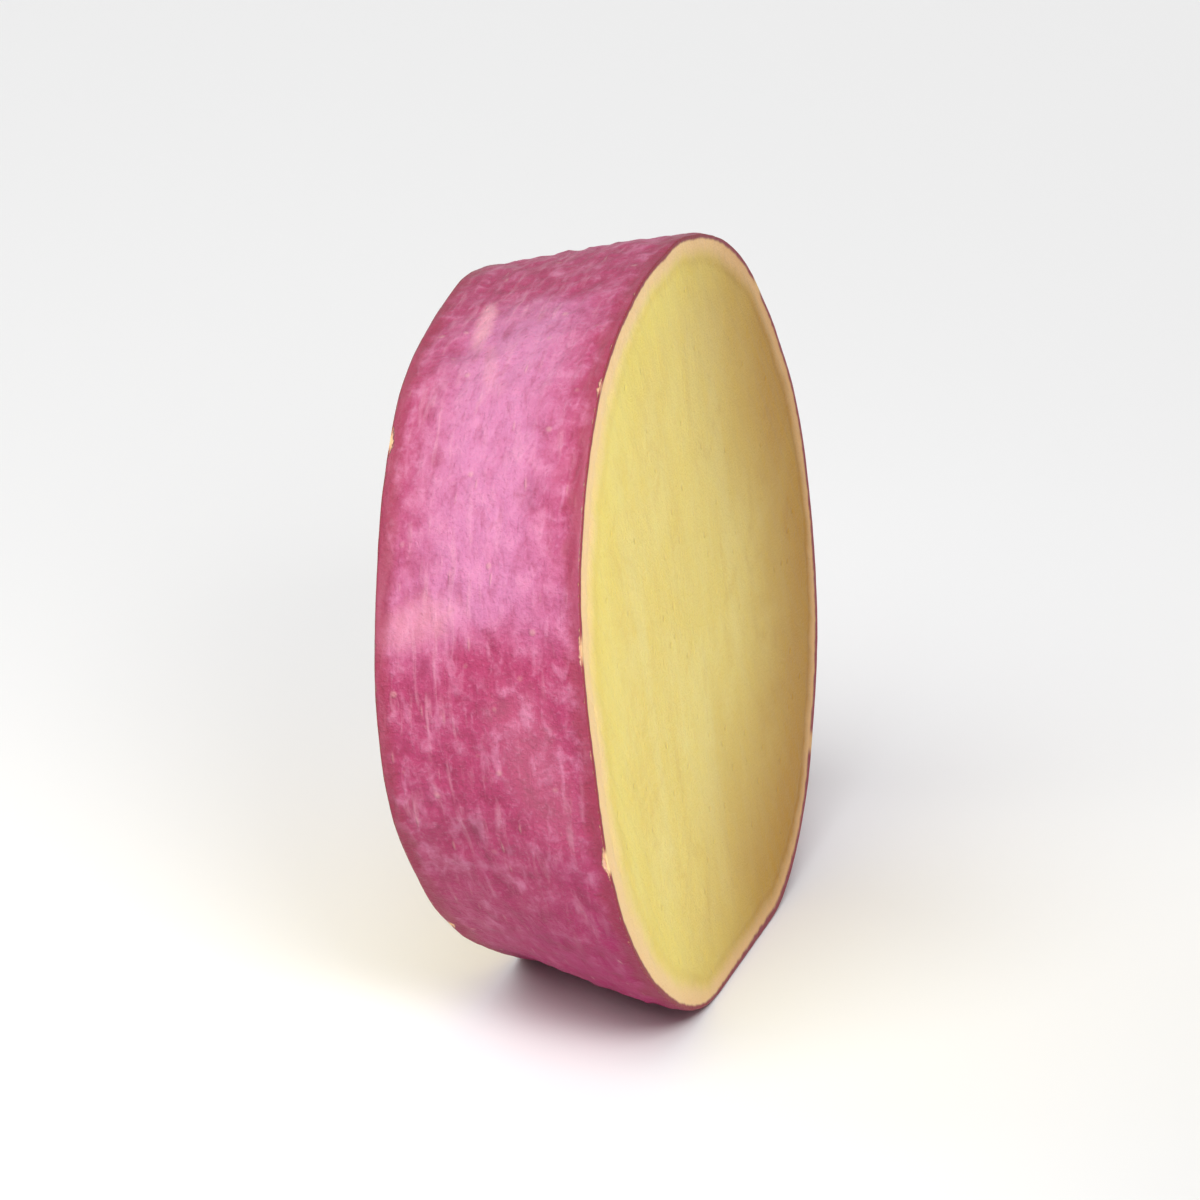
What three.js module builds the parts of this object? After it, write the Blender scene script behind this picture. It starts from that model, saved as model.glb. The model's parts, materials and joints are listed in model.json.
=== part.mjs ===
// A thick slice of raw sweet potato, cut across the root with two parallel knife cuts and standing on
// its rim. The root tapers between the cuts, so the front cut is larger than the back one, and the
// slice leans back a little on the part of the rim that is pressed flat under it.
//
// Millimetres, +Z up. The front cut faces -Y, leaning back from upright, and clock positions are read
// looking at it along +Y. The origin is the middle of the bounding box's underside, on the surface that
// the slice stands on. The slice grew as one piece, so it is one solid: flesh and skin together.
import * as THREE from "three";

const { degToRad, euclideanModulo, lerp, smoothstep } = THREE.MathUtils;

// Driving dimensions.
const THICKNESS = 20; // between the two cuts, square to them
const LEAN = degToRad(7); // how far both cuts lean back from upright
const FLAT_DEPTH = 33.3; // from the root's axis down to the standing flat, in the plane of the front cut
const SHOULDER = 0.5; // how softly the round rim eases into the flat
const WAIST = 0.6; // how S-shaped the taper is between the cuts, from 0 for a straight cone to 1

// The skin's distance from the root's axis at each hour of the clock, from 12 o'clock to 11.
const FRONT_RIM = [35.7, 36.5, 36.7, 36.9, 36.6, 36.1, 34.0, 35.6, 36.4, 35.4, 37.0, 36.9];
const BACK_RIM = [32.9, 33.7, 34.3, 34.1, 33.5, 32.8, 31.8, 29.4, 31.7, 35.1, 34.4, 34.3];
const HOURS = FRONT_RIM.length;
const HOUR = (2 * Math.PI) / HOURS;

// Fineness of the mesh.
const SECTORS = 120;
const SIDE_BANDS = 10;
const CUT_RINGS = 2;

/** A closed list of hourly radii, read smoothly at any angle clockwise from 12 o'clock. */
function radiusAt(rim, angle) {
  const hour = Math.floor(angle / HOUR);
  const past = angle / HOUR - hour;
  const [before, from, to, after] = [-1, 0, 1, 2].map((k) => rim[euclideanModulo(hour + k, HOURS)]);
  const slopeFrom = (to - before) / 2;
  const slopeTo = (after - from) / 2;
  const bend = 2 * (from - to) + slopeFrom + slopeTo;
  const rise = 3 * (to - from) - 2 * slopeFrom - slopeTo;
  return ((bend * past + rise) * past + slopeFrom) * past + from;
}

/** The skin's distance from the axis at an angle, and at a share of the way from front cut to back. */
function skinRadius(angle, share) {
  const taper = lerp(share, smoothstep(share, 0, 1), WAIST);
  return lerp(radiusAt(FRONT_RIM, angle), radiusAt(BACK_RIM, angle), taper);
}

/** The height, in the root's own upright, of the surface that the leaning slice stands on. */
function standingHeight(along) {
  return along * Math.tan(LEAN) - FLAT_DEPTH;
}

/** Lifts a height to the surface where it would be under it, with a soft shoulder on both sides. */
function pressedFlat(height, surface) {
  const above = height - surface;
  if (above >= SHOULDER) return height;
  if (above <= -SHOULDER) return surface;
  return surface + (above + SHOULDER) ** 2 / (4 * SHOULDER);
}

/** The outline that is turned about the root's axis: out over one cut, along the skin, and back in. */
function turningOutline() {
  const points = [];
  for (let i = 0; i < CUT_RINGS; i++) points.push(new THREE.Vector2(i / CUT_RINGS, 0));
  for (let i = 0; i <= SIDE_BANDS; i++) points.push(new THREE.Vector2(1, (THICKNESS * i) / SIDE_BANDS));
  for (let i = CUT_RINGS - 1; i >= 0; i--) points.push(new THREE.Vector2(i / CUT_RINGS, THICKNESS));
  return points;
}

/** The slice in the root's own frame: axis along +Y from the front cut, 12 o'clock at +Z. */
function sliceGeometry() {
  const geometry = new THREE.LatheGeometry(turningOutline(), SECTORS);
  const position = geometry.getAttribute("position");
  for (let i = 0; i < position.count; i++) {
    const along = position.getY(i);
    const angle = Math.atan2(position.getX(i), position.getZ(i));
    const radius = Math.hypot(position.getX(i), position.getZ(i)) * skinRadius(angle, along / THICKNESS);
    position.setX(i, radius * Math.sin(angle));
    position.setZ(i, pressedFlat(radius * Math.cos(angle), standingHeight(along)));
  }
  geometry.computeVertexNormals();
  return geometry;
}

/** The slice leaned back, stood on its flat and centred over the origin. */
function standingSlice() {
  const flesh = new THREE.MeshStandardMaterial({ color: 0xe6cf7e, roughness: 0.5, metalness: 0 });
  const geometry = sliceGeometry().rotateX(-LEAN);
  geometry.computeBoundingBox();
  const middle = geometry.boundingBox.getCenter(new THREE.Vector3());
  const slice = new THREE.Mesh(geometry, flesh);
  slice.name = "sweet_potato_slice";
  slice.position.set(-middle.x, -middle.y, FLAT_DEPTH * Math.cos(LEAN));
  return slice;
}

const part = new THREE.Group();
part.add(standingSlice());

export default part;
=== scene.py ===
"""A thick slice of raw sweet potato, standing on its rim on a pale studio floor.

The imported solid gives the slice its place, its outline and its two knife cuts. One fine mesh is modelled
over it: a tube of root is fitted to the solid, made a little lumpy, cut flat with a knife plane at each
end, and given its dimples, knife marks, skin lip and chipped edge. Distances are in metres, and in
millimetres where a name ends in _mm. "Along" runs from the front cut to the back one, and a clock
position is read looking at the front cut.
"""

import json
import math
from contextlib import contextmanager

import bmesh
import bpy
import numpy as np
from bpy.props import FloatProperty, FloatVectorProperty, PointerProperty
from mathutils import Matrix, Vector, noise


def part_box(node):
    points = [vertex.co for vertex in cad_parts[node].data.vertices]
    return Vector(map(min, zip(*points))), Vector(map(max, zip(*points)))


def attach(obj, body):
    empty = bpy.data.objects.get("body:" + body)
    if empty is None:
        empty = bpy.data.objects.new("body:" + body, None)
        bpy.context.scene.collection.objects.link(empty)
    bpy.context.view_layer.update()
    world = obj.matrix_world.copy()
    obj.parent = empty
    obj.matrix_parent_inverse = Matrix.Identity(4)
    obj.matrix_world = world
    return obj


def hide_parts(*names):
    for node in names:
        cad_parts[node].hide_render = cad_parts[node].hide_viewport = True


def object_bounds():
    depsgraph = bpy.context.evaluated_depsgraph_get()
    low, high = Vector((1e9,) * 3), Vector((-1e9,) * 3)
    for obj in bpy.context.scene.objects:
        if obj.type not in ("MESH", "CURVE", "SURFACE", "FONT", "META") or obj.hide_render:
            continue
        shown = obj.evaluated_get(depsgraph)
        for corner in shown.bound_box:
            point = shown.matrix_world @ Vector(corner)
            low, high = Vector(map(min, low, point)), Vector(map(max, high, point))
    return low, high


bl_info = {
    "name": "Sliced Sweet Potato",
    "version": (1, 0, 0),
    "blender": (4, 5, 0),
    "location": "3D View > Sidebar > Sweet Potato",
    "description": "Models a standing slice of raw sweet potato with its skin, its flesh and a studio",
    "category": "Add Mesh",
}

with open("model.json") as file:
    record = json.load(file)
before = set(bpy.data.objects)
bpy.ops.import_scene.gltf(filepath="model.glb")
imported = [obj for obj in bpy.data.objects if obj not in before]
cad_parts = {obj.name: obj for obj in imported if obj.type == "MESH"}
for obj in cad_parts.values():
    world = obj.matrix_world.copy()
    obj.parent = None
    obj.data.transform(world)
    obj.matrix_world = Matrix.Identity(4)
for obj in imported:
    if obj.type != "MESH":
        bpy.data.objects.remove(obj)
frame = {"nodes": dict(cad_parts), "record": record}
cad_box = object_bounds()

MM = 0.001
NODE = "sweet_potato_slice"
PIECE = "sweet_potato_slice_flesh_and_skin"
MOUNTS = {mount["name"]: mount for mount in frame["record"]["mounts"]}
FRONT = Vector(MOUNTS["front_cut_face"]["pos_m"])
BACK = Vector(MOUNTS["back_cut_face"]["pos_m"])
ALONG = (BACK - FRONT).normalized()
THICKNESS = (BACK - FRONT).length
LEAN = math.asin(-ALONG.z)
ROOT = Matrix.Translation(FRONT) @ Matrix.Rotation(-LEAN, 4, "X")  # x across, y along, z upright
INTO_ROOT = ROOT.inverted()
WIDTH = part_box(NODE)[1].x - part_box(NODE)[0].x
MIDDLE = (cad_box[0] + cad_box[1]) / 2
RADIUS_MM = WIDTH / 2 / MM
THICKNESS_MM = THICKNESS / MM

SECTORS = 136  # round the skin, before the surface is made finer
SPARE = 1.0 * MM  # how far the tube of root runs past each knife cut
BANDS = 11  # along the tube of root
EDGE = 0.35 * MM  # from a cut's edge to the loop that keeps it crisp
RINGS_MM = (0.3, 0.4, 0.7, 1.1, 1.5)  # the widths of the rings that are inset round each cut
FINER = 2  # how many times each face is split in four

# The skin's lumps: size in millimetres and share of the height
LUMPS = ((13, 1.0), (6, 0.5), (3.5, 0.25))
LUMPS_DRAWN_OUT = 0.45  # below 1, the lumps are longer along the root than round it
LUMPS_START = 0.5 * MM  # how far above the floor the lumps begin
LUMPS_IN_FULL = 9 * MM  # and how far above it they have their whole height
WRINKLES_NARROWED = 2.8  # above 1, the wrinkles run round the root
DIMPLE_BREADTH = 1.25  # how much wider a dimple is round the root than along it
CHIP_SINKS_MM = 0.35  # from the skin to the flesh that a chip lays bare
KNIFE_WAY = (0.86, 0.0, 0.51)  # across the knife's marks
KNIFE_MARKS_MM = (3.1, 1.27)  # from one mark to the next, for the coarse marks and the fine
GROOVE_IN_MM = 2.4  # from the skin to the groove
GROOVE_WIDTH_MM = 0.45
LIP_WIDTH_MM = 0.5

# Clock positions of the broad zones in the finishes
# The lilac zone is partly the skin's own paler tone and partly painted sheen, on the upper left where the
# skin faces the light
SHEEN_AND_LILAC_HOUR = 10.65
FAR_LILAC_HOUR = 3.2
RED_STRIP_HOUR = 10.9  # the skin beside the cuts is reddest there
WIDE_RING_HOUR = 9.4
# The flesh's painted shade is deepest towards this clock position
PAINTED_SHADE_HOUR = 3.6
# The dark skin line is widened towards this clock position: partly a thicker skin, partly painted shade
# along the cut's edge
SHADE_LINE_HOUR = 4.3

# The far lights: turn and height in degrees, and strength
FAR_LIGHTS = {"key_light": (-105, 55, 1.9), "back_light": (160, 40, 0.55)}
FAR_LIGHT_WIDTH = 47  # degrees across, as seen from the slice
NEAR_LIGHT_TURN, NEAR_LIGHT_RISE = -60, 38  # degrees
NEAR_LIGHT_AWAY = 0.22  # from the middle of the slice
NEAR_LIGHT_SIZE = 0.08
NEAR_LIGHT_WATTS = 0.037
NEAR_LIGHT_SPREAD = 62  # degrees
NEAR_LIGHT_TARGET = MIDDLE + Vector((-0.55, 0.0, 0.22)) * WIDTH
FLOOR_SIZE = 8.0


# The root's own coordinates


def clock_angle(hour):
    """The angle of a clock position, in radians, clockwise from 12 o'clock."""
    return math.tau * hour / 12


def polar(points):
    """The angles, the distances from the axis and the distances along, of an array of points."""
    local = (points - np.array(ROOT.translation)) @ np.array(ROOT.to_3x3())
    return np.arctan2(local[:, 0], local[:, 2]), np.hypot(local[:, 0], local[:, 2]), local[:, 1]


def round_trip(angle):
    """An angle or array of angles, brought between minus half a turn and half a turn."""
    return (angle + math.pi) % math.tau - math.pi


def smooth_step(value, low, high):
    """0 below low, 1 above high and an S-curve between them, of a number or an array."""
    share = np.clip((value - low) / (high - low), 0, 1)
    return share * share * (3 - 2 * share)


def coordinates(mesh):
    """The places of a mesh's vertices, as an array."""
    flat = np.empty(len(mesh.vertices) * 3)
    mesh.vertices.foreach_get("co", flat)
    return flat.reshape(-1, 3)


def move_to(mesh, points):
    """Puts a mesh's vertices at new places."""
    mesh.vertices.foreach_set("co", points.ravel())
    mesh.update()


def cloud(points, size_mm, seed):
    """Smooth noise from about -1 to 1 at each point, with lumps of a size in millimetres."""
    shift = Vector((seed * 17.3, seed * 5.1, seed * 9.7))
    scale = 1 / (size_mm * MM)
    return np.array([noise.noise(Vector(point) * scale + shift) for point in points])


# Modelling steps


@contextmanager
def editing(piece, mode):
    """Edit mode on one piece with nothing selected, giving its bmesh; mode is VERT, EDGE or FACE."""
    bpy.ops.object.select_all(action="DESELECT")
    piece.select_set(True)
    bpy.context.view_layer.objects.active = piece
    bpy.ops.object.mode_set(mode="EDIT")
    bpy.ops.mesh.select_mode(type=mode)
    bpy.ops.mesh.select_all(action="DESELECT")
    yield bmesh.from_edit_mesh(piece.data)
    bpy.ops.object.mode_set(mode="OBJECT")


def select(piece, made, elements):
    """Selects these elements of a piece in edit mode."""
    for element in elements:
        element.select = True
    made.select_flush_mode()
    bmesh.update_edit_mesh(piece.data)


def apply_modifier(piece, name, kind, **settings):
    """Adds a modifier with these settings and applies it."""
    modifier = piece.modifiers.new(name, kind)
    for setting, value in settings.items():
        setattr(modifier, setting, value)
    bpy.context.view_layer.objects.active = piece
    bpy.ops.object.modifier_apply(modifier=modifier.name)


def add_tube_of_root():
    """An open tube round the root's axis, a little longer than the slice, split into bands."""
    bpy.ops.object.select_all(action="DESELECT")
    bpy.ops.mesh.primitive_cylinder_add(
        vertices=SECTORS,
        radius=WIDTH / 2,
        depth=THICKNESS + 2 * SPARE,
        end_fill_type="NOTHING",
        calc_uvs=False,
        location=(FRONT + BACK) / 2,
        rotation=(-math.pi / 2 - LEAN, 0, 0),
    )
    piece = bpy.context.active_object
    piece.name = PIECE
    piece.data.name = PIECE
    bpy.ops.object.transform_apply(location=True, rotation=True, scale=True)
    with editing(piece, "EDGE") as made:
        lengthwise = [e for e in made.edges if e.calc_length() > THICKNESS]
        select(piece, made, lengthwise)
        bpy.ops.mesh.subdivide(number_cuts=BANDS - 1)
    return piece


def fit_to_solid(piece):
    """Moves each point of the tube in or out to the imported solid's skin."""
    solid = frame["nodes"][NODE]
    hair = 0.01 * MM
    for vertex in piece.data.vertices:
        local = INTO_ROOT @ vertex.co
        level = min(max(local.y, hair), THICKNESS - hair)
        outward = Vector((local.x, 0, local.z)).normalized()
        start = ROOT @ Vector((0, level, 0))
        hit, place, _, _ = solid.ray_cast(start, ROOT.to_3x3() @ outward)
        if not hit:
            raise RuntimeError("the packed solid has no skin beside a point of the tube")
        vertex.co = ROOT @ (outward * (place - start).length + Vector((0, local.y, 0)))
    piece.data.update()


def swell(piece, settings):
    """Gives the skin the broad lumps and lengthwise ribs of a grown root."""
    points = coordinates(piece.data)
    angles, radii, along = polar(points)
    around = np.stack([np.sin(angles) * radii, along * LUMPS_DRAWN_OUT, np.cos(angles) * radii], axis=1)
    lumps = sum(share * cloud(around, size, seed) for seed, (size, share) in enumerate(LUMPS, start=1))
    outward = points - np.array(FRONT) - along[:, None] * np.array(ALONG)
    outward /= np.linalg.norm(outward, axis=1)[:, None]
    clear_of_floor = smooth_step(points[:, 2], LUMPS_START, LUMPS_IN_FULL)
    points += outward * (lumps * clear_of_floor * settings.lump_mm * MM)[:, None]
    move_to(piece.data, points)


def knife(piece, level, keep_beyond=None):
    """Cuts the piece square to the axis; keep_beyond says which side stays, and the cut is filled."""
    with editing(piece, "FACE"):
        bpy.ops.mesh.select_all(action="SELECT")
        bpy.ops.mesh.bisect(
            plane_co=FRONT + ALONG * level,
            plane_no=ALONG,
            use_fill=keep_beyond is not None,
            clear_inner=keep_beyond is True,
            clear_outer=keep_beyond is False,
        )


def face_of_cut(made, level):
    """The one many-sided face that lies on a cut."""
    size = max(len(face.verts) for face in made.faces)
    for face in made.faces:
        if len(face.verts) == size and abs((INTO_ROOT @ face.calc_center_median()).y - level) < EDGE / 2:
            return face
    raise RuntimeError("the knife left no face at this cut")


def pave_cut(piece, level):
    """Splits a cut's one face into rings that follow the skin and a grid of squares inside them."""
    for width in RINGS_MM:
        with editing(piece, "FACE") as made:
            select(piece, made, [face_of_cut(made, level)])
            bpy.ops.mesh.inset(thickness=width * MM, use_even_offset=True)
    with editing(piece, "FACE") as made:
        middle = face_of_cut(made, level)
        loop = list(middle.edges)
        bmesh.ops.delete(made, geom=[middle], context="FACES_ONLY")
        bpy.ops.mesh.select_mode(type="EDGE")
        select(piece, made, loop)
        bpy.ops.mesh.fill_grid(span=SECTORS // 4)


def knife_both_cuts(piece):
    """Cuts both ends flat, adds the loops that keep the edges crisp, and paves the two cuts."""
    knife(piece, 0, keep_beyond=True)
    knife(piece, THICKNESS, keep_beyond=False)
    knife(piece, EDGE)
    knife(piece, THICKNESS - EDGE)
    pave_cut(piece, 0)
    pave_cut(piece, THICKNESS)
    with editing(piece, "FACE"):
        bpy.ops.mesh.select_all(action="SELECT")
        bpy.ops.mesh.normals_make_consistent(inside=False)


def mark_cuts(piece):
    """Gives the faces on the two cuts the flesh, and the rest the skin."""
    for face in piece.data.polygons:
        face.material_index = int(abs(face.normal.dot(ALONG)) > math.sqrt(0.5))
    piece.data.update()


class Layout:
    """Where each point of the finished mesh lies: its clock angle, its place along and its depth."""

    def __init__(self, piece):
        self.points = coordinates(piece.data)
        self.angles, radii, self.along = polar(self.points)
        on_cut = np.zeros(len(self.points), bool)
        on_skin = np.zeros(len(self.points), bool)
        for face in piece.data.polygons:
            (on_cut if face.material_index else on_skin)[list(face.vertices)] = True
        self.on_front = self.along < THICKNESS / 2
        self.on_cut = on_cut & ~on_skin
        rim = on_cut & on_skin
        self.depth_mm = np.zeros(len(self.points))
        for side in (self.on_front, ~self.on_front):
            edge = rim & side
            order = np.argsort(self.angles[edge])
            rim_angles, rim_radii = self.angles[edge][order], radii[edge][order]
            inside = self.on_cut & side
            reach = np.interp(self.angles[inside], rim_angles, rim_radii, period=math.tau)
            self.depth_mm[inside] = (reach - radii[inside]) / MM
        self.from_edge_mm = np.minimum(self.along, THICKNESS - self.along) / MM


# Chips in the skin's edge: clock hour, whether on the front cut, half width and reach down the skin
CHIPS = (
    (8.5, True, 2.2, 0.55),
    (9.6, True, 2.6, 0.30),
    (10.9, True, 1.6, 0.22),
    (1.7, True, 2.4, 0.40),
    (4.3, True, 1.8, 0.45),
    (10.7, False, 2.2, 0.35),
    (2.2, False, 3.0, 0.5),
    (7.6, False, 1.7, 0.4),
)
# Dimples where fine roots grew: clock hour, millimetres along, radius, depth and how dark it is
DIMPLES = (
    (8.6, 13.5, 2.4, 0.45, 0.12),
    (10.35, 5.5, 1.9, 0.3, 0.10),
    (11.3, 15.0, 2.2, 0.4, 0.0),
    (1.2, 8.0, 2.6, 0.5, 0.75),
    (2.8, 14.0, 2.2, 0.45, 0.55),
    (4.3, 6.0, 2.8, 0.55, 0.8),
)
# Pale patches on the skin: clock hour, millimetres along, half length, half width, turn and strength
PALE_PATCHES = (
    (9.72, 16.5, 2.4, 5.6, 0.35, 0.45),
    (11.5, 14.2, 5.0, 1.1, 0.12, 0.90),
    (11.1, 11.5, 3.6, 0.9, 0.25, 0.40),
    (1.6, 9.0, 3.6, 1.0, -0.3, 0.5),
    (3.6, 12.5, 4.2, 2.4, 0.4, 0.4),
    (9.0, 5.5, 8.5, 3.4, 0.25, 0.13),
    (6.9, 11.0, 7.0, 3.5, -0.3, 0.16),
)


def bare_reach_mm(layout):
    """How far down from each cut's edge the skin is gone, at each point: below 0 where none is."""
    angles = layout.angles
    side = np.where(layout.on_front, 0.4, -0.4)
    rim = np.stack([np.sin(angles), side, np.cos(angles)], axis=1) * WIDTH / 2
    wander = cloud(rim, 4.0, 5) + 0.8 * cloud(rim, 1.2, 6)
    reach = 0.12 * wander - 0.70
    for hour, on_front, half_width, depth in CHIPS:
        distance = np.abs(round_trip(angles - clock_angle(hour))) * RADIUS_MM * (1 + 0.25 * wander)
        chip = depth * (1 - smooth_step(distance, 0, half_width)) * (1 + 0.35 * wander)
        reach = np.where(layout.on_front == on_front, np.maximum(reach, chip), reach)
    return reach


def skin_relief_mm(layout, settings, reach):
    """How far the skin is raised at each point by its wrinkles, dimples and chips."""
    round_root = layout.points * np.array([1.0, WRINKLES_NARROWED, 1.0])
    wrinkles = 0.9 - 3.2 * np.abs(cloud(round_root, 5.0, 11)) + 0.8 * cloud(layout.points, 1.5, 12)
    wrinkles += cloud(round_root, 2.2, 13)
    away_from_edge = smooth_step(layout.from_edge_mm, 0.0, 1.2)
    relief = settings.wrinkle_mm * wrinkles * (0.3 + 0.7 * away_from_edge)
    for hour, along_mm, radius, depth, _ in DIMPLES:
        across = round_trip(layout.angles - clock_angle(hour)) * RADIUS_MM
        distance = np.hypot(across / DIMPLE_BREADTH, layout.along / MM - along_mm)
        bowl = 1 - smooth_step(distance, 0.1 * radius, radius)
        brow = np.exp(-(((distance - 1.15 * radius) / (0.35 * radius)) ** 2))
        relief -= depth * (bowl - 0.22 * brow)
    chipped = (1 - smooth_step(layout.from_edge_mm, 0.0, 1.0)) * np.clip(reach, 0, 1)
    return relief - CHIP_SINKS_MM * chipped


def cut_relief_mm(layout, settings):
    """How far a cut is raised at each point by the knife's marks, the groove and the skin's lip."""
    points = layout.points
    depth = layout.depth_mm
    coarse, fine = KNIFE_MARKS_MM
    sweep = points @ np.array(KNIFE_WAY) / MM + 1.6 * cloud(points, 24, 21)
    strokes = np.sin(sweep * math.tau / coarse) + 0.6 * np.sin(sweep * math.tau / fine + 1.0)
    relief = settings.knife_mark_mm * strokes * smooth_step(depth, 0.4, 2.0)
    relief += 0.10 * cloud(points, 11, 22) * smooth_step(depth, 0.3, 4.0)
    relief += 0.02 * cloud(points, 1.4, 23)
    relief -= settings.groove_mm * np.exp(-(((depth - GROOVE_IN_MM) / GROOVE_WIDTH_MM) ** 2))
    return relief + settings.lip_mm * np.exp(-((depth / LIP_WIDTH_MM) ** 2))


def carve(piece, settings):
    """Raises and sinks each point along the surface's own normals, and notes its depth and bareness."""
    mesh = piece.data
    layout = Layout(piece)
    normals = np.empty(len(layout.points) * 3)
    mesh.vertices.foreach_get("normal", normals)
    reach = bare_reach_mm(layout)
    on_skin = skin_relief_mm(layout, settings, reach)
    relief = np.where(layout.on_cut, cut_relief_mm(layout, settings), on_skin)
    points = layout.points + normals.reshape(-1, 3) * (relief * MM)[:, None]
    points[:, 2] = np.maximum(points[:, 2], 0)
    move_to(mesh, points)
    for name, values in (("depth", layout.depth_mm), ("bare", reach - layout.from_edge_mm)):
        attribute = mesh.attributes.new(name, "FLOAT", "POINT")
        attribute.data.foreach_set("value", values.astype(np.float32))


def model_slice(settings):
    """The whole slice as one fine mesh."""
    piece = add_tube_of_root()
    fit_to_solid(piece)
    swell(piece, settings)
    knife_both_cuts(piece)
    apply_modifier(piece, "finer", "SUBSURF", levels=FINER, render_levels=FINER)
    mark_cuts(piece)
    carve(piece, settings)
    bpy.ops.object.select_all(action="DESELECT")
    piece.select_set(True)
    bpy.ops.object.shade_smooth()
    return piece


# Finishes


class Wire:
    """A shader socket that sums can be written on: each operation on it adds a Math node."""

    def __init__(self, finish, socket):
        self.finish = finish
        self.socket = socket

    def math(self, operation, *values):
        """A Math node on some values."""
        return self.finish.node("ShaderNodeMath", {"operation": operation}, dict(enumerate(values)))

    def __add__(self, other):
        return self.math("ADD", self, other)

    def __sub__(self, other):
        return self.math("SUBTRACT", self, other)

    def __mul__(self, other):
        return self.math("MULTIPLY", self, other)

    def __truediv__(self, other):
        return self.math("DIVIDE", self, other)

    def __rsub__(self, other):
        return self.math("SUBTRACT", other, self)

    __radd__ = __add__
    __rmul__ = __mul__

    def __abs__(self):
        return self.math("ABSOLUTE", self)

    def __pow__(self, power):
        return self.math("POWER", self, power)

    def rise(self, low, high):
        """0 below low, 1 above high and an S-curve between them."""
        settings = {"interpolation_type": "SMOOTHSTEP"}
        inputs = {"Value": self, "From Min": low, "From Max": high}
        return self.finish.node("ShaderNodeMapRange", settings, inputs)

    def fall(self, low, high):
        """1 below low, 0 above high and an S-curve between them."""
        return 1 - self.rise(low, high)


class Finish:
    """One material and the tools that build its nodes."""

    def __init__(self, name):
        self.material = bpy.data.materials.new(name)
        self.material.use_nodes = True
        self.tree = self.material.node_tree
        self.tree.nodes.clear()
        inputs = {"Location": FRONT, "Rotation": (-LEAN, 0, 0), "Scale": (MM, MM, MM)}
        inputs["Vector"] = self.node("ShaderNodeTexCoord", output="Object")
        self.place = self.node("ShaderNodeMapping", {"vector_type": "TEXTURE"}, inputs)
        self.across, self.along, self.upright = (
            self.node("ShaderNodeSeparateXYZ", {}, {0: self.place}, output) for output in range(3)
        )

    def node(self, kind, settings=(), inputs=(), output=0):
        """Adds a node, with its settings and its sockets' values or links, and gives one output."""
        made = self.tree.nodes.new(kind)
        for name, value in dict(settings).items():
            setattr(made, name, value)
        for name, value in dict(inputs).items():
            if isinstance(value, Wire):
                self.tree.links.new(value.socket, made.inputs[name])
            else:
                made.inputs[name].default_value = value
        return Wire(self, made.outputs[output]) if output is not None else None

    def from_axis(self):
        """Millimetres from the root's axis, and a hair more, so that it is never 0."""
        return (self.across * self.across + self.upright * self.upright) ** 0.5 + 0.01

    def facing(self, hour):
        """1 straight out from the root's axis at a clock position, 0 a quarter turn away, -1 behind."""
        turn = clock_angle(hour)
        return (self.across * math.sin(turn) + self.upright * math.cos(turn)) / self.from_axis()

    def mix(self, factor, first, second, blend="MIX"):
        """A colour between two colours."""
        settings = {"data_type": "RGBA", "blend_type": blend}
        return self.node("ShaderNodeMix", settings, {0: factor, 6: first, 7: second}, output=2)

    def layers(self, colour, amounts_and_colours):
        """A colour with others laid over it one by one, each in its own amount."""
        for amount, above in amounts_and_colours:
            colour = self.mix(amount, colour, opaque(above))
        return colour

    def join(self, x, y, z):
        """Three numbers as one vector."""
        return self.node("ShaderNodeCombineXYZ", {}, {0: x, 1: y, 2: z})

    def stretch(self, vector, amounts):
        """A vector multiplied, axis by axis."""
        return self.node("ShaderNodeVectorMath", {"operation": "MULTIPLY"}, {0: vector, 1: amounts})

    def clouds(self, vector, size_mm, detail=2.0, roughness=0.5, distortion=0.0):
        """Noise from 0 to 1, with lumps of a size in millimetres."""
        inputs = {"Vector": vector, "Scale": 1 / size_mm, "Detail": detail}
        inputs |= {"Roughness": roughness, "Distortion": distortion}
        return self.node("ShaderNodeTexNoise", {}, inputs)

    def cells(self, vector, size_mm, output):
        """Scattered cells of a size in millimetres: their Distance or their Color."""
        return self.node("ShaderNodeTexVoronoi", {}, {"Vector": vector, "Scale": 1 / size_mm}, output)

    def spots(self, vector, size_mm, edge, kept):
        """1 on scattered spots: edge is where a spot ends, and kept is which of them are left in."""
        shape = self.cells(vector, size_mm, "Distance").fall(*edge)
        return shape * self.cells(vector, size_mm, "Color").rise(*kept)

    def attribute(self, name):
        """A number that the mesh holds at each point."""
        return self.node("ShaderNodeAttribute", {"attribute_name": name}, output="Fac")

    def bump(self, height, distance_mm):
        """A normal raised and sunk by a height, over a distance in millimetres."""
        inputs = {"Height": height, "Distance": distance_mm * MM, "Strength": 1.0}
        return self.node("ShaderNodeBump", {}, inputs)

    def principled(self, constants, **varying):
        """Ends the tree with a Principled shader: constants on its sockets and links for what varies."""
        inputs = constants | {name.replace("_", " "): wire for name, wire in varying.items()}
        surface = self.node("ShaderNodeBsdfPrincipled", {}, inputs, "BSDF")
        self.node("ShaderNodeOutputMaterial", {}, {"Surface": surface}, output=None)
        return self.material


def opaque(colour):
    """A colour with its alpha."""
    return (*colour, 1.0)


def lay_eyes(made, colour, around, mottle, eye):
    """Darkens the dimples where fine roots grew."""
    for hour, along_mm, radius, _, shade in DIMPLES:
        across = around - round_trip(clock_angle(hour)) * RADIUS_MM
        beside = made.along - along_mm
        distance = (across * across / 1.6 + beside * beside) ** 0.5 / radius
        amount = (distance + (mottle - 0.5) * 0.9).fall(0.15, 0.95)
        colour = made.mix(amount * shade, colour, opaque(eye))
    return colour


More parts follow.
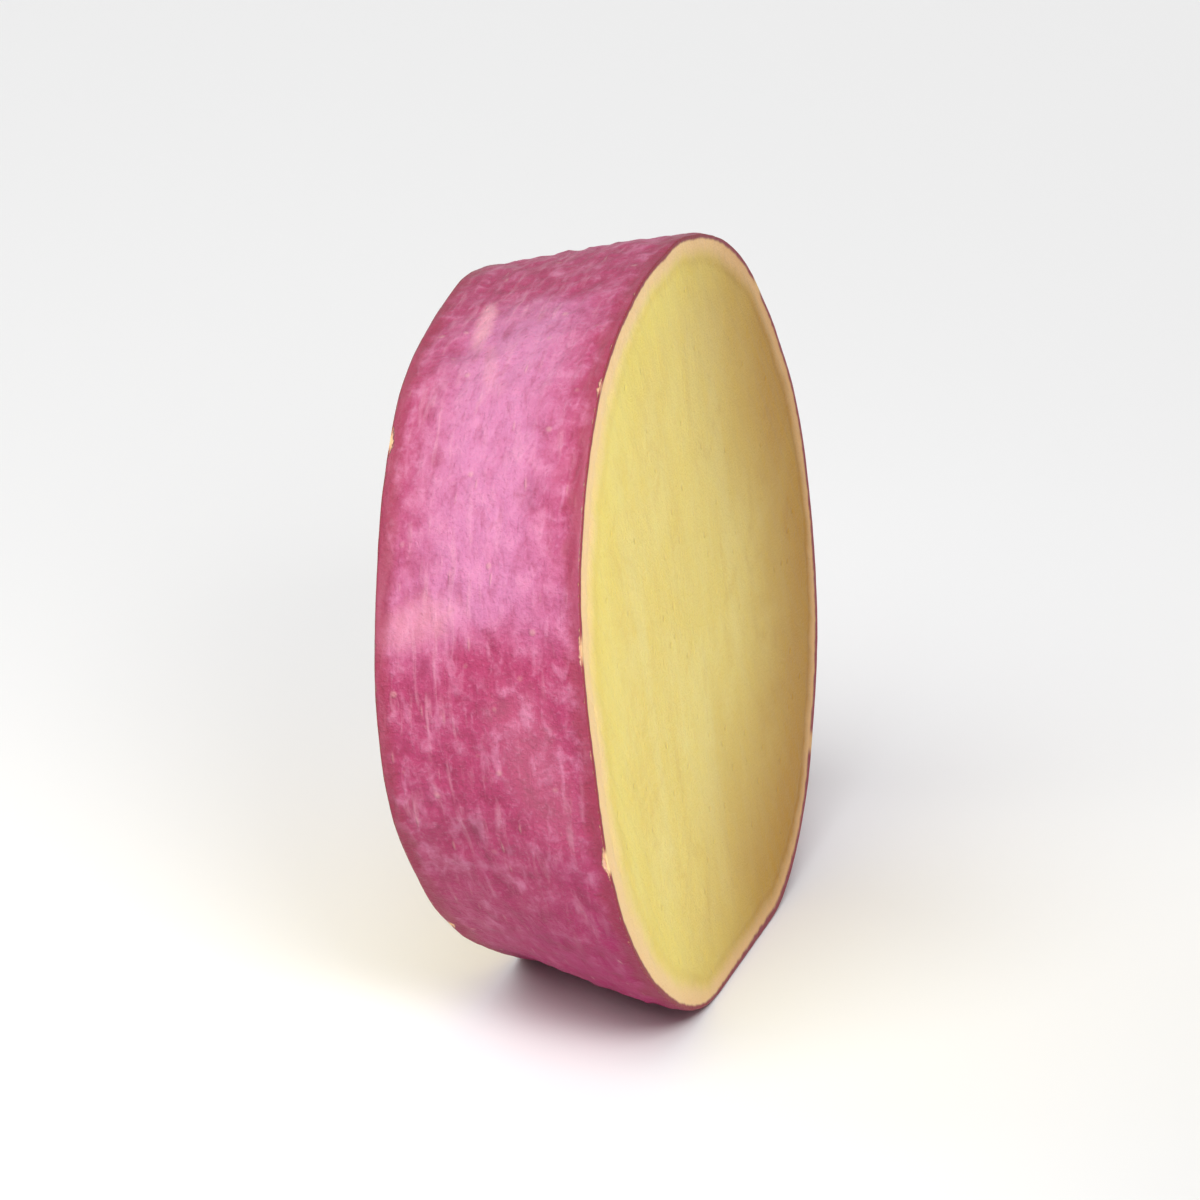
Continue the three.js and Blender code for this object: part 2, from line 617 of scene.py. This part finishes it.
def lay_pale_patches(made, colour, around, mottle, pale_patch):
    """Pales the skin in patches, each a ragged oval."""
    for hour, along_mm, length, width, turn, strength in PALE_PATCHES:
        across = around - round_trip(clock_angle(hour)) * RADIUS_MM
        beside = made.along - along_mm
        lengthwise = across * math.cos(turn) + beside * math.sin(turn)
        crosswise = beside * math.cos(turn) - across * math.sin(turn)
        oval = (lengthwise / length) ** 2 + (crosswise / width) ** 2
        amount = (oval + (mottle - 0.5) * 3.0).fall(-0.3, 1.5)
        colour = made.mix(amount * strength, colour, opaque(pale_patch))
    return colour


def skin_finish(settings):
    """Waxy pink skin: lilac above and crimson below, partly its own tone and partly painted sheen above and
    painted shade below, mottled, with pale marks that run round the root.
    """
    made = Finish("sweet_potato_skin")
    clock = made.across.math("ARCTAN2", made.across, made.upright)
    around = clock * RADIUS_MM
    unrolled = made.join(around, made.along, 0.0)
    from_edge = made.along.math("MINIMUM", made.along, THICKNESS_MM - made.along)
    blotches = made.clouds(made.place, 11.0, detail=3.0, roughness=0.6)
    mottle = made.clouds(made.place, 2.4, detail=5.0, roughness=0.64, distortion=0.15)
    patches = made.clouds(made.stretch(unrolled, (0.8, 1.1, 1.0)), 4.4, detail=4.0, roughness=0.6)
    curls = made.clouds(made.stretch(unrolled, (0.50, 1.3, 1.0)), 1.6, detail=5.0, distortion=0.6)
    grain = made.clouds(made.place, 0.40, detail=4.0, roughness=0.65)
    hatching = made.clouds(made.stretch(unrolled, (0.30, 2.0, 1.0)), 1.4, detail=3.0)

    # The lilac zone on the near side is partly the skin's own tone and partly painted sheen: it lies on the
    # upper left, where the skin faces the light from above.
    near_side = abs(clock - round_trip(clock_angle(SHEEN_AND_LILAC_HOUR))).fall(0.32, 0.68)
    far_side = abs(clock - round_trip(clock_angle(FAR_LILAC_HOUR))).fall(0.30, 0.95) * 0.7
    lilac_and_sheen = (near_side + far_side + (blotches - 0.5) * 1.3).rise(0.05, 0.95)
    # Painted shade, partly the skin's own deeper tone: low on the slice, facing away from the light, the
    # skin turns deeper magenta, and the pale flecks and streaks fade out there.
    under = (made.upright * -0.04 + (blotches - 0.5) * 1.2).rise(0.30, 1.15)
    pale = 1 - under * 0.85
    strip = (from_edge + (mottle - 0.5) * 4.0).fall(0.5, 8.0)
    strip = strip * (0.35 + made.facing(RED_STRIP_HOUR).rise(0.80, 0.97) * 0.60)
    streak_place = made.stretch(unrolled, (0.17, 1.15, 1.0))
    streak_noise = made.clouds(streak_place, 1.0, detail=3.0, roughness=0.5, distortion=0.25)
    streaks = streak_noise.rise(0.52, 0.76) * blotches.rise(0.36, 0.60) * pale
    pores = made.spots(made.stretch(unrolled, (0.24, 1.0, 1.0)), 1.0, edge=(0.04, 0.20), kept=(0.50, 0.70))
    dots = made.spots(made.place, 2.3, edge=(0.06, 0.19), kept=(0.55, 0.75))
    colour = made.layers(
        opaque(settings.crimson),
        (
            (lilac_and_sheen, settings.lilac_and_sheen),
            (strip, settings.crimson),
            (under * 0.95, settings.magenta_shade),
            (patches.fall(0.30, 0.50) * (0.45 - lilac_and_sheen * 0.22), settings.crimson),
            (mottle.fall(0.32, 0.50) * (0.60 - lilac_and_sheen * 0.34), settings.wine),
            (mottle.rise(0.48, 0.74) * pale * 0.50, settings.fleck),
            (curls.rise(0.52, 0.72) * pale * 0.38, settings.fleck),
            (curls.fall(0.30, 0.46) * 0.34, settings.wine),
            (grain.rise(0.50, 0.80) * pale * 0.32, settings.fleck),
            (grain.fall(0.25, 0.48) * 0.34, settings.wine),
            (streaks * 0.42, settings.streak),
            (pores * 0.36, settings.pore),
            (dots * 0.40, settings.pore),
        ),
    )
    colour = lay_eyes(made, colour, around, mottle, settings.eye)
    colour = lay_pale_patches(made, colour, around, mottle, settings.pale_patch)
    # The skin is darkened in a narrow band right beside each cut.
    edge_darkening = (from_edge + (mottle - 0.5) * 2.4 + (blotches - 0.5) * 2.0).fall(0.5, 2.1)
    colour = made.mix(edge_darkening * 0.72, colour, opaque(settings.edge_darkening))

    ragged = (made.clouds(made.place, 0.5, detail=3.0) - 0.5) * 0.5
    bare = (made.attribute("bare") + ragged).rise(-0.10, 0.08)
    torn_colour = made.mix(grain.rise(0.4, 0.6) * 0.5, opaque(settings.under_skin), opaque(settings.pore))
    colour = made.mix(bare, colour, torn_colour)

    height = grain * 0.45 + hatching * 0.20 + mottle * 0.7 + curls * 0.4 + streaks * 0.10
    height = height + pores * 0.2 + dots * 0.15 - bare * 0.6
    return made.principled(
        {
            "Subsurface Weight": 0.08,
            "Subsurface Radius": (1.0, 0.3, 0.35),
            "Subsurface Scale": 1.0 * MM,
            "Specular IOR Level": 0.17,
            "Coat Roughness": 0.32,
            "Sheen Weight": 0.03,
            "Sheen Roughness": 0.45,
            "Sheen Tint": (1.0, 0.82, 0.92, 1.0),
        },
        Base_Color=colour,
        Roughness=0.38 + mottle * 0.18 + grain * 0.12 + bare * 0.1,
        Coat_Weight=made.upright.rise(-22.0, 14.0) * 0.32,
        Normal=made.bump(height, 0.45),
    )


def flesh_finish(settings):
    """Moist yellow flesh: a dark line of skin, a peach ring inside it, and fine dots, bands and rays."""
    made = Finish("sweet_potato_flesh")
    depth = made.attribute("depth")
    wander = made.clouds(made.place, 6.0, detail=3.0) - 0.5
    fine_wander = made.clouds(made.place, 1.1, detail=3.0) - 0.5
    wide_side = made.facing(WIDE_RING_HOUR).rise(0.05, 0.88)
    ring_depth = depth * (1 - wide_side * 0.45) + wander * 1.4 + fine_wander * 0.5

    from_axis = made.from_axis()
    ray_place = made.join(made.across / from_axis * 7.0, made.upright / from_axis * 7.0, from_axis * 0.07)
    rays = made.clouds(ray_place, 1.0, detail=3.0, roughness=0.55)
    rays = rays.rise(0.48, 0.75) * from_axis.rise(5.0, 24.0)
    haze = made.clouds(made.place, 10.0, detail=4.0, roughness=0.55, distortion=0.4)
    smudges = made.clouds(made.place, 5.5, detail=4.0, roughness=0.6, distortion=1.2)
    grain = made.clouds(made.place, 0.5, detail=3.0, roughness=0.6)
    fibres = made.clouds(made.stretch(made.place, (1.0, 1.0, 0.16)), 1.1, detail=3.0)
    bands = made.clouds(made.stretch(made.place, (1.0, 1.0, 0.14)), 7.0, detail=3.0, roughness=0.6)
    dots = made.spots(made.place, 1.9, edge=(0.06, 0.20), kept=(0.52, 0.62)) * depth.rise(2.8, 5.0)
    groove = abs(ring_depth - 2.5).fall(0.05, 0.7)
    colour = made.layers(
        opaque(settings.yellow),
        (
            (haze.rise(0.40, 0.68) * 0.45, settings.cream),
            (bands.rise(0.50, 0.68) * 0.42, settings.cream),
            (bands.fall(0.32, 0.50) * 0.22, settings.ochre),
            (smudges.rise(0.54, 0.72) * 0.28, settings.ochre),
            (rays * 0.20, settings.ochre),
            (fibres.rise(0.5, 0.75) * 0.14, settings.cream),
            (grain.rise(0.45, 0.75) * 0.26, settings.cream),
            (grain.fall(0.28, 0.50) * 0.16, settings.ochre),
            (dots * 0.30, settings.ochre),
            (ring_depth.fall(3.0, 8.5) * 0.42, settings.bright),
            (groove * 0.20, settings.ochre),
        ),
    )

    # Painted shade: the flesh is multiplied to a deeper golden towards about half past three, most near the
    # skin and over the peach ring too, standing in for the shade on that side of the cut.
    painted_shade_side = (made.facing(PAINTED_SHADE_HOUR) + (haze - 0.5) * 0.5).rise(-0.45, 0.85)
    golden_painted_shade = painted_shade_side * (depth + (haze - 0.5) * 5.0).fall(-4.0, 36.0)
    painted_shade_on_ring = golden_painted_shade * ring_depth.fall(1.2, 3.0) * 0.5
    ring_layers = (
        (ring_depth.fall(0.9, 2.6) * 0.95, settings.peach),
        (ring_depth.fall(0.2, 1.1) * 0.20, settings.under_skin),
    )
    colour = made.mix(golden_painted_shade, colour, opaque(settings.golden_painted_shade), blend="MULTIPLY")
    colour = made.layers(colour, ring_layers)
    colour = made.mix(painted_shade_on_ring, colour, opaque(settings.golden_painted_shade), blend="MULTIPLY")

    bare = made.attribute("bare").rise(0.05, 0.4)
    # The dark skin line round the cut is widened towards about 4 o'clock: partly a thicker skin, partly
    # painted shade along the lower right edge of the cut.
    shade_line_side = made.facing(SHADE_LINE_HOUR).rise(0.25, 0.95)
    line_depth = depth * (1 - shade_line_side * 0.42) + fine_wander * 0.35 + wander * 0.3
    colour = made.mix(line_depth.fall(0.26, 0.56) * (1 - bare), colour, opaque(settings.skin_line))

    height = grain * 0.5 + rays * 0.3 + fibres * 0.25 + made.clouds(made.place, 0.18, detail=2.0) * 0.3
    return made.principled(
        {
            "Subsurface Weight": 0.22,
            "Subsurface Radius": (1.0, 0.7, 0.3),
            "Subsurface Scale": 1.8 * MM,
            "Specular IOR Level": 0.26,
            "Coat Weight": 0.03,
            "Coat Roughness": 0.3,
        },
        Base_Color=colour,
        Roughness=0.40 + haze * 0.14 + grain * 0.12,
        Normal=made.bump(height - dots * 0.4, 0.22),
    )


# The studio


def direction(azimuth, elevation):
    """The way from the slice to a light or camera that stands at these angles, in degrees."""
    turn, rise = math.radians(azimuth), math.radians(elevation)
    return Vector((math.sin(turn) * math.cos(rise), -math.cos(turn) * math.cos(rise), math.sin(rise)))


def hang_light(name, lamp, place, target):
    """Puts a lamp at a place, turned to a target."""
    light = bpy.data.objects.new(name, lamp)
    light.location = place
    light.rotation_euler = (place - target).to_track_quat("Z", "Y").to_euler()
    bpy.context.scene.collection.objects.link(light)


def add_far_light(name, azimuth, elevation, strength):
    """A broad light from far away, that lights the whole floor alike."""
    lamp = bpy.data.lights.new(name, "SUN")
    lamp.angle = math.radians(FAR_LIGHT_WIDTH)
    lamp.energy = strength
    hang_light(name, lamp, MIDDLE + direction(azimuth, elevation), MIDDLE)


def add_near_light(name):
    """A small square light close by, aimed at the skin beside the front cut."""
    lamp = bpy.data.lights.new(name, "AREA")
    lamp.shape = "SQUARE"
    lamp.size = NEAR_LIGHT_SIZE
    lamp.energy = NEAR_LIGHT_WATTS
    lamp.spread = math.radians(NEAR_LIGHT_SPREAD)
    place = MIDDLE + direction(NEAR_LIGHT_TURN, NEAR_LIGHT_RISE) * NEAR_LIGHT_AWAY
    hang_light(name, lamp, place, NEAR_LIGHT_TARGET)


def add_floor(settings):
    """A wide pale floor under the slice."""
    bpy.ops.object.select_all(action="DESELECT")
    bpy.ops.mesh.primitive_plane_add(size=FLOOR_SIZE, location=(0, 0, 0))
    floor = bpy.context.active_object
    floor.name = "studio_floor"
    with editing(floor, "FACE"):
        bpy.ops.mesh.select_all(action="SELECT")
        bpy.ops.mesh.subdivide(number_cuts=3)
    made = Finish("studio_floor_paint")
    darker = opaque([0.99 * value for value in settings.floor])
    colour = made.mix(made.clouds(made.place, 400.0), opaque(settings.floor), darker)
    paint = made.principled({"Roughness": 0.7, "Specular IOR Level": 0.2}, Base_Color=colour)
    floor.data.materials.append(paint)


def add_camera(settings):
    """A long lens, looking a little down on the slice's left side."""
    toward = direction(settings.azimuth, settings.elevation)
    lens = bpy.data.cameras.new("camera")
    lens.lens = settings.lens
    lens.clip_start = 0.01
    camera = bpy.data.objects.new("camera", lens)
    camera.location = MIDDLE + toward * settings.distance
    camera.rotation_euler = toward.to_track_quat("Z", "Y").to_euler()
    bpy.context.scene.collection.objects.link(camera)
    bpy.context.scene.camera = camera


def set_world(settings):
    """An even surround, that looks nearly white behind the floor and lights the slice less than that."""
    world = bpy.data.worlds.new("studio")
    world.use_nodes = True
    nodes = world.node_tree.nodes
    seen = nodes.new("ShaderNodeLightPath").outputs["Is Camera Ray"]
    strength = nodes.new("ShaderNodeMapRange")
    strength.inputs["To Min"].default_value = settings.surround
    strength.inputs["To Max"].default_value = settings.horizon
    world.node_tree.links.new(seen, strength.inputs["Value"])
    world.node_tree.links.new(strength.outputs["Result"], nodes["Background"].inputs["Strength"])
    nodes["Background"].inputs["Color"].default_value = (1.0, 1.0, 1.0, 1.0)
    bpy.context.scene.world = world


# The add-on


def colour_property(name, description, default):
    """A colour that the user can change."""
    settings = {"subtype": "COLOR", "min": 0, "max": 1}
    return FloatVectorProperty(name=name, description=description, default=default, **settings)


def height_property(name, description, default):
    """A height in millimetres that the user can change."""
    return FloatProperty(name=name, description=description + ", mm", default=default, min=0)


class SliceShape(bpy.types.PropertyGroup):
    """The sizes of the slice's surface detail."""

    lump_mm: height_property("Lumps", "Height of the skin's broad lumps", 0.38)
    wrinkle_mm: height_property("Wrinkles", "Height of the skin's fine relief", 0.11)
    knife_mark_mm: height_property("Knife marks", "Height of the marks on the cuts", 0.028)
    groove_mm: height_property("Groove", "Depth of the ring under the skin", 0.07)
    lip_mm: height_property("Lip", "How far the skin stands proud of the cuts", 0.06)


class SliceColours(bpy.types.PropertyGroup):
    """The colours of the skin and the flesh."""

    crimson: colour_property("Crimson", "The skin's redder places", (0.40, 0.042, 0.125))
    # Magenta: partly the skin's own deeper tone, partly painted shade on the underside.
    magenta_shade: colour_property("Magenta", "The skin low on the slice", (0.36, 0.012, 0.11))
    # Lilac: partly the skin's own paler tone, partly painted sheen on the upper side.
    lilac_and_sheen: colour_property("Lilac", "The skin's paler upper half", (0.56, 0.185, 0.35))
    wine: colour_property("Wine", "The skin's darkest mottles", (0.28, 0.024, 0.075))
    fleck: colour_property("Fleck", "Pale flecks on the skin", (0.68, 0.26, 0.41))
    pore: colour_property("Pore", "The short marks and dots on the skin", (0.66, 0.36, 0.34))
    # Pale patches on the skin.
    pale_patch: colour_property("Scuff", "Rubbed places on the skin", (0.76, 0.34, 0.42))
    streak: colour_property("Streak", "Pale streaks round the root", (0.70, 0.33, 0.42))
    eye: colour_property("Eye", "The dimples where fine roots grew", (0.17, 0.010, 0.030))
    # Darker skin in a narrow band beside each knife cut.
    edge_darkening: colour_property("Edge darkening", "The skin beside the knife cuts", (0.29, 0.034, 0.065))
    under_skin: colour_property("Under skin", "What shows where the skin is chipped", (0.86, 0.50, 0.28))
    peach: colour_property("Peach", "The ring under the skin", (0.99, 0.675, 0.33))
    skin_line: colour_property("Skin line", "The cut edge of the skin", (0.27, 0.035, 0.055))
    cream: colour_property("Cream", "The palest flesh", (0.93, 0.79, 0.29))
    yellow: colour_property("Yellow", "The main flesh", (0.89, 0.695, 0.17))
    # Golden: painted shade, multiplied over the flesh on one side.
    golden_painted_shade: colour_property("Golden", "What deepens the flesh to one side", (0.51, 0.285, 0.03))
    bright: colour_property("Bright", "The flesh near the ring", (0.92, 0.76, 0.16))
    ochre: colour_property("Ochre", "Dots, rays and smudges in the flesh", (0.74, 0.50, 0.10))


class StudioSettings(bpy.types.PropertyGroup):
    """The camera, the floor and the light."""

    azimuth: FloatProperty(name="Azimuth", description="Camera's turn, degrees", default=-73.7)
    elevation: FloatProperty(name="Elevation", description="Camera's height, degrees", default=22.3)
    distance: FloatProperty(name="Distance", description="Camera's distance", default=1.38, unit="LENGTH")
    lens: FloatProperty(name="Lens", description="Camera's focal length, mm", default=450.0)
    surround: FloatProperty(name="Surround", description="Strength of the even light", default=0.36)
    horizon: FloatProperty(name="Horizon", description="How bright the surround looks", default=0.85)
    floor: colour_property("Floor", "The floor's paint", (0.88, 0.88, 0.88))


class SWEETPOTATO_OT_slice(bpy.types.Operator):
    """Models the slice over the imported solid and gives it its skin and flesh"""

    bl_idname = "sweet_potato.slice"
    bl_label = "Slice"

    def execute(self, context):
        piece = model_slice(context.scene.slice_shape)
        piece.data.materials.append(skin_finish(context.scene.slice_colours))
        piece.data.materials.append(flesh_finish(context.scene.slice_colours))
        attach(piece, "root")
        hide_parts(NODE)
        return {"FINISHED"}


class SWEETPOTATO_OT_stage(bpy.types.Operator):
    """Adds the floor, the soft lights, the surround and the camera"""

    bl_idname = "sweet_potato.stage"
    bl_label = "Stage"

    def execute(self, context):
        settings = context.scene.studio_settings
        add_floor(settings)
        for name, (azimuth, elevation, strength) in FAR_LIGHTS.items():
            add_far_light(name, azimuth, elevation, strength)
        add_near_light("near_light")
        set_world(settings)
        add_camera(settings)
        context.scene.view_settings.view_transform = "Standard"
        return {"FINISHED"}


class SWEETPOTATO_PT_panel(bpy.types.Panel):
    """Lists the slice, the stage and their settings"""

    bl_idname = "SWEETPOTATO_PT_panel"
    bl_label = "Sweet Potato"
    bl_space_type = "VIEW_3D"
    bl_region_type = "UI"
    bl_category = "Sweet Potato"

    def draw(self, context):
        layout = self.layout
        for operator in OPERATORS:
            layout.operator(operator.bl_idname)
        for group in (context.scene.slice_shape, context.scene.slice_colours, context.scene.studio_settings):
            for name in group.bl_rna.properties.keys():
                if name not in ("rna_type", "name"):
                    layout.prop(group, name)


OPERATORS = (SWEETPOTATO_OT_slice, SWEETPOTATO_OT_stage)
CLASSES = (SliceShape, SliceColours, StudioSettings, *OPERATORS, SWEETPOTATO_PT_panel)


def register():
    for each in CLASSES:
        bpy.utils.register_class(each)
    bpy.types.Scene.slice_shape = PointerProperty(type=SliceShape)
    bpy.types.Scene.slice_colours = PointerProperty(type=SliceColours)
    bpy.types.Scene.studio_settings = PointerProperty(type=StudioSettings)


def unregister():
    del bpy.types.Scene.studio_settings
    del bpy.types.Scene.slice_colours
    del bpy.types.Scene.slice_shape
    for each in reversed(CLASSES):
        bpy.utils.unregister_class(each)


def main():
    """Registers the add-on and models the slice and its stage."""
    register()
    bpy.ops.sweet_potato.slice()
    bpy.ops.sweet_potato.stage()


if __name__ == "__main__":
    main()
